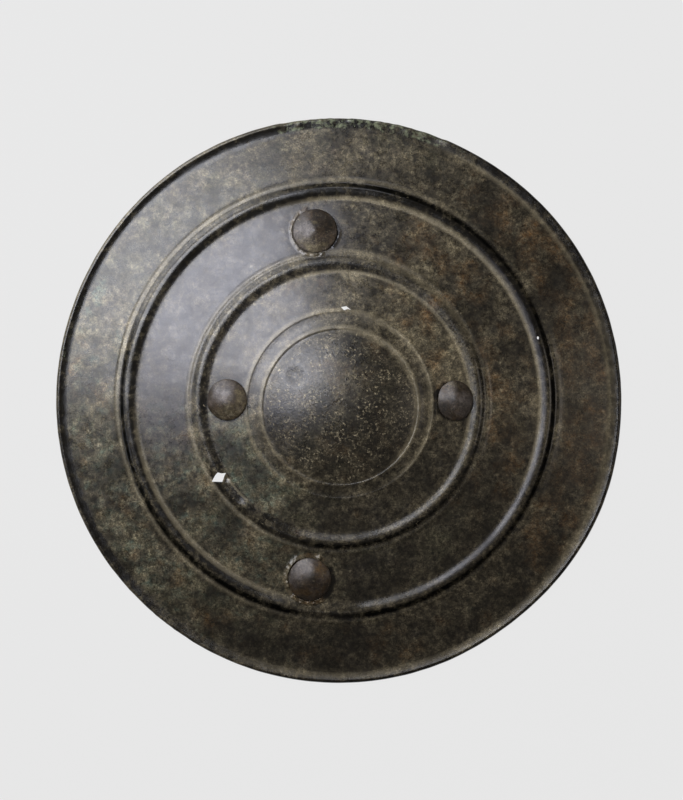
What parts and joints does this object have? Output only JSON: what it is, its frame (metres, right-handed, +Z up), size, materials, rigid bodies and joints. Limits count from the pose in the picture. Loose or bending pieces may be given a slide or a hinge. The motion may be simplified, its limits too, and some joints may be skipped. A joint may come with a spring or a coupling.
{
  "type": "buckler shield",
  "caption": "Round bronze buckler lying face up: hollow boss, raised ribs, beaded rim and big cone-headed rivets, with a grip behind the boss and strap loops on the back.",
  "frame": {"origin": "on the floor under the middle of the rim: the middle of the outline's box, at the height of the rim's underside", "axes": "+Z up, out of the boss; +Y towards the top of the shield, where one of the strap rivets is; +X to its right"},
  "size_m": [0.4, 0.4, 0.0268],
  "materials": {
    "sheet_bronze": "old hammered sheet bronze under a dark brown and grey-green patina, speckled and pitted, darker along the ribs, with pale crust at the rim",
    "rivet_bronze": "old cast and hammered bronze, brown patina, smoother than the sheet",
    "strip_bronze": "old bent bronze strip, dull dark green-brown patina"
  },
  "bodies": {
    "root": {"shield_plate": "sheet_bronze", "handle_grip": "strip_bronze", "handle_rivet_left": "rivet_bronze", "handle_rivet_right": "rivet_bronze", "strap_rivet_top": "rivet_bronze", "strap_rivet_bottom": "rivet_bronze", "strap_loop_top": "strip_bronze", "strap_loop_bottom": "strip_bronze"}
  },
  "joints": []
}
